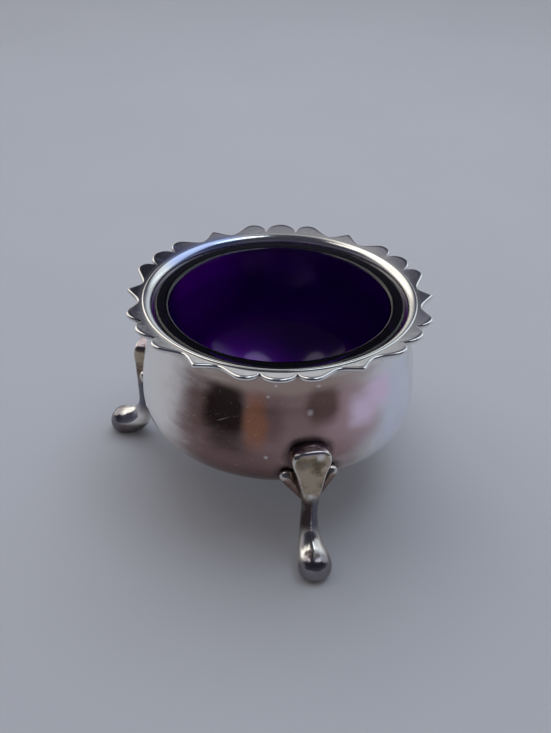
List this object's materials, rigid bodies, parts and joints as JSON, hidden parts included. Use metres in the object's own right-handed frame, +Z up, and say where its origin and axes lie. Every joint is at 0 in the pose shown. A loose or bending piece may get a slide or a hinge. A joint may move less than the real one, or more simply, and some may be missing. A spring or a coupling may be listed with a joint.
{
  "type": "salt cellar",
  "caption": "Round-bellied silver salt cellar on cast cabriole legs with pad feet, a scalloped everted rim border and a loose deep blue glass liner that lifts out.",
  "frame": {"origin": "on the table top that the feet stand on, under the middle of the bounding box", "axes": "+Z up along the bowl's axis, -Y towards the front middle scallop that the picture faces, +X to the right"},
  "size_m": [0.0714, 0.0722, 0.044],
  "materials": {
    "silver_sheet": "worn polish, lightly tarnished",
    "silver_border": "polished on the edges, tarnished in the hollows",
    "silver_casting": "polished casting, dark in the recesses",
    "cobalt_glass": "polished, deep cobalt violet"
  },
  "bodies": {
    "cellar": {"bowl": "silver_sheet", "rim_border": "silver_border", "leg_front": "silver_casting", "leg_left": "silver_casting", "leg_back": "silver_casting"},
    "liner": {"glass_liner": "cobalt_glass"}
  },
  "joints": [
    {"name": "liner_lift", "type": "slide", "parent": "cellar", "child": "liner", "axis": [0, 0, 1], "range_m": [0, 0.036]}
  ]
}
